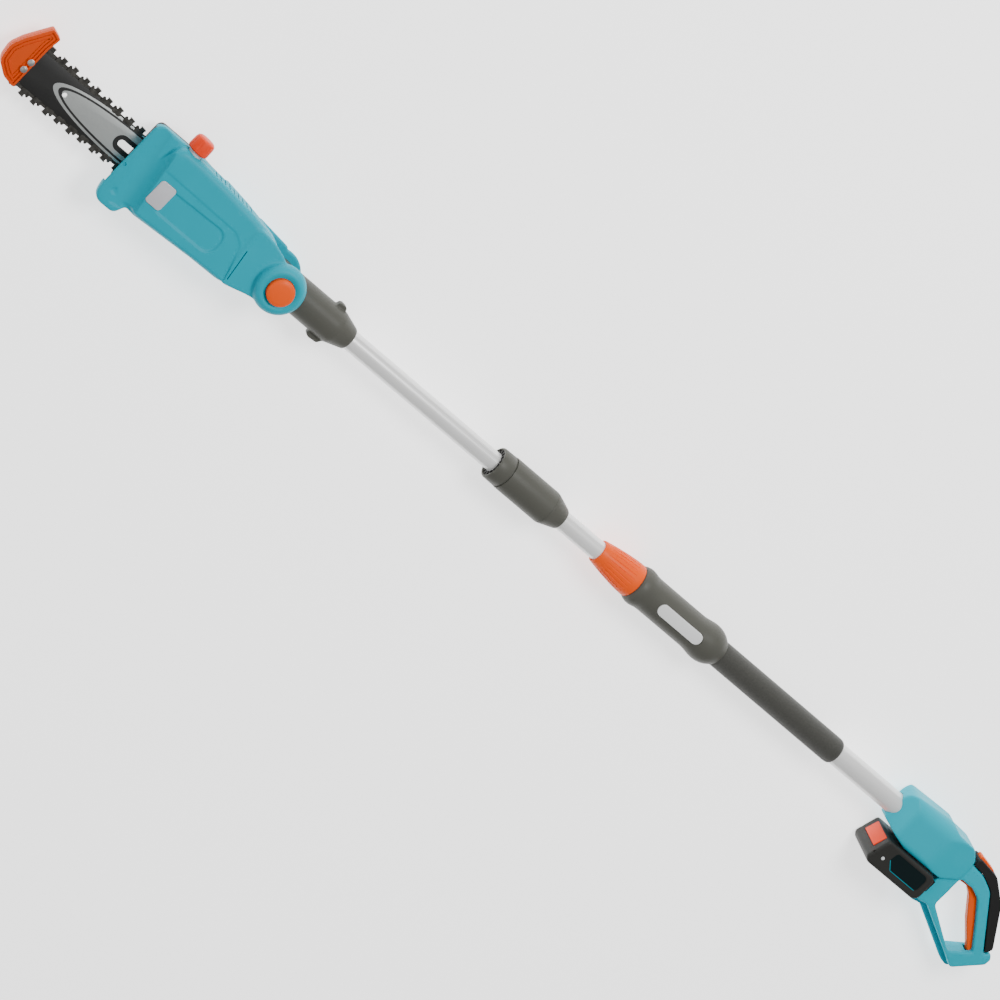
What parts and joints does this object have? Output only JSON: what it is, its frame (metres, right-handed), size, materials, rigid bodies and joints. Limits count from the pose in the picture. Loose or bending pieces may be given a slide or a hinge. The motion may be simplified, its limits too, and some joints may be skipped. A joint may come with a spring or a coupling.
{
  "type": "telescoping pole saw",
  "caption": "Battery pole saw: small chainsaw head on a tilt joint, a telescoping pole with a twist clamp, a foam grip, and a closed loop handle with trigger and slide-on battery.",
  "frame": {"origin": "middle of the bounding box in X and Y, on its bottom face", "axes": "+X along the pole from the bar's tip to the handle, +Y towards the tool's top side, +Z towards its left side, so the saw lies on its right side"},
  "size_m": [1.8634, 0.202, 0.089],
  "materials": {
    "turquoise_casing": "moulded nylon, satin",
    "orange_plastic": "moulded, satin",
    "red_orange_plastic": "moulded, satin",
    "dark_plastic": "moulded, fine grain",
    "black_plastic": "moulded, fine grain",
    "soft_overmould": "soft touch",
    "foam": "closed-cell foam",
    "anodised_tube": "anodised, satin",
    "steel_parts": "bright",
    "dark_steel": "oiled",
    "clear_tank": "translucent",
    "battery_cell": "sleeved cells",
    "terminals": "plated",
    "blank_label": "printed, blank"
  },
  "bodies": {
    "handle": {"handle_shell_left": "turquoise_casing", "handle_shell_right": "turquoise_casing", "handle_screw_1": "steel_parts", "handle_screw_2": "steel_parts", "handle_screw_3": "steel_parts", "grip_overmould": "soft_overmould", "trigger_pin": "steel_parts", "trigger_spring": "steel_parts", "trigger_switch": "black_plastic", "control_board": "black_plastic", "terminal_block": "terminals", "outer_tube": "anodised_tube", "clamp_body": "dark_plastic", "label_plate": "blank_label", "clamp_collet": "black_plastic", "foam_grip": "foam", "coiled_cable": "soft_overmould"},
    "middle_pole": {"middle_tube": "anodised_tube", "slide_bush": "black_plastic", "coupling_socket": "dark_plastic"},
    "coupling_nut": {"coupling_nut": "dark_plastic"},
    "clamp_collar": {"clamp_collar": "orange_plastic"},
    "upper_pole": {"upper_tube": "anodised_tube", "coupling_plug": "black_plastic", "neck": "dark_plastic"},
    "head": {"head_shell_left": "turquoise_casing", "head_shell_right": "turquoise_casing", "head_screw_1": "steel_parts", "head_screw_2": "steel_parts", "guide_bar": "steel_parts", "saw_chain": "dark_steel", "tip_guard": "orange_plastic", "tip_guard_bolt_1": "steel_parts", "tip_guard_bolt_2": "steel_parts", "bar_stud": "steel_parts", "bar_nut": "steel_parts", "drive_cover": "black_plastic", "tension_pin": "steel_parts", "shaft_bearing_far": "steel_parts", "shaft_bearing_near": "steel_parts", "drive_motor": "dark_steel", "oil_pump": "black_plastic", "oil_tank": "clear_tank", "oil_cap_seal": "soft_overmould", "tilt_axle": "steel_parts", "tilt_lock_disc": "steel_parts", "tilt_spring": "steel_parts"},
    "tension_screw": {"tension_screw": "steel_parts"},
    "drive_train": {"drive_shaft": "steel_parts", "drive_sprocket": "dark_steel", "face_gear": "dark_steel"},
    "motor_rotor": {"motor_pinion": "steel_parts"},
    "oil_cap": {"oil_cap": "red_orange_plastic"},
    "tilt_button": {"tilt_button": "orange_plastic"},
    "trigger": {"trigger": "orange_plastic"},
    "lock_off_button": {"lock_off_button": "orange_plastic"},
    "battery": {"battery_case": "black_plastic", "battery_lid": "black_plastic", "battery_cells": "battery_cell"},
    "battery_latch": {"battery_latch": "red_orange_plastic"}
  },
  "joints": [
    {"name": "pole_telescope", "type": "slide", "parent": "handle", "child": "middle_pole", "axis": [-1, 0, 0], "range_m": [-0.05, 0.33]},
    {"name": "clamp_collar_turn", "type": "hinge", "parent": "handle", "child": "clamp_collar", "pos_m": [0.15689, 0.02359, 0.041], "axis": [1, 0, 0], "range_deg": [0, 120]},
    {"name": "coupling_nut_turn", "type": "hinge", "parent": "middle_pole", "child": "coupling_nut", "pos_m": [-0.10111, 0.02359, 0.041], "axis": [1, 0, 0], "range_deg": [0, 270]},
    {"name": "upper_pole_release", "type": "slide", "parent": "middle_pole", "child": "upper_pole", "axis": [-1, 0, 0], "range_m": [0, 0.06]},
    {"name": "head_tilt", "type": "hinge", "parent": "upper_pole", "child": "head", "pos_m": [-0.48111, 0.02059, 0.041], "axis": [0, 0, 1], "range_deg": [-15, 60]},
    {"name": "tilt_button_press", "type": "slide", "parent": "head", "child": "tilt_button", "axis": [0, 0, -1], "range_m": [0, 0.004], "stiffness_N_per_m": 800, "springref_m": -0.004, "deforming": ["tilt_spring"]},
    {"name": "tension_screw_turn", "type": "hinge", "parent": "head", "child": "tension_screw", "pos_m": [-0.72111, 0.03859, 0.022], "axis": [1, 0, 0], "continuous": true},
    {"name": "drive_spin", "type": "hinge", "parent": "head", "child": "drive_train", "pos_m": [-0.64511, 0.02359, 0.041], "axis": [0, 0, 1], "continuous": true},
    {"name": "motor_spin", "type": "hinge", "parent": "head", "child": "motor_rotor", "pos_m": [-0.61111, 0.02359, 0.046], "axis": [1, 0, 0], "continuous": true},
    {"name": "oil_cap_turn", "type": "hinge", "parent": "head", "child": "oil_cap", "pos_m": [-0.67561, 0.08359, 0.0536], "axis": [0, 1, 0], "range_deg": [0, 90]},
    {"name": "trigger_pull", "type": "hinge", "parent": "handle", "child": "trigger", "pos_m": [0.82389, 0.00959, 0.041], "axis": [0, 0, 1], "range_deg": [0, 3.2], "stiffness_Nm_per_rad": 1.5, "springref_deg": -5.73},
    {"name": "lock_off_press", "type": "slide", "parent": "handle", "child": "lock_off_button", "axis": [-0.1959, -0.9806, 0], "range_m": [0, 0.0025], "stiffness_N_per_m": 600, "springref_m": -0.003},
    {"name": "battery_slide", "type": "slide", "parent": "handle", "child": "battery", "axis": [-1, 0, 0], "range_m": [0, 0.09]},
    {"name": "battery_latch_press", "type": "slide", "parent": "battery", "child": "battery_latch", "axis": [0.9579, -0.2873, 0], "range_m": [0, 0.003], "stiffness_N_per_m": 600, "springref_m": -0.003}
  ],
  "couplings": [
    {"joint": "motor_spin", "follows": "drive_spin", "ratio": -3}
  ]
}
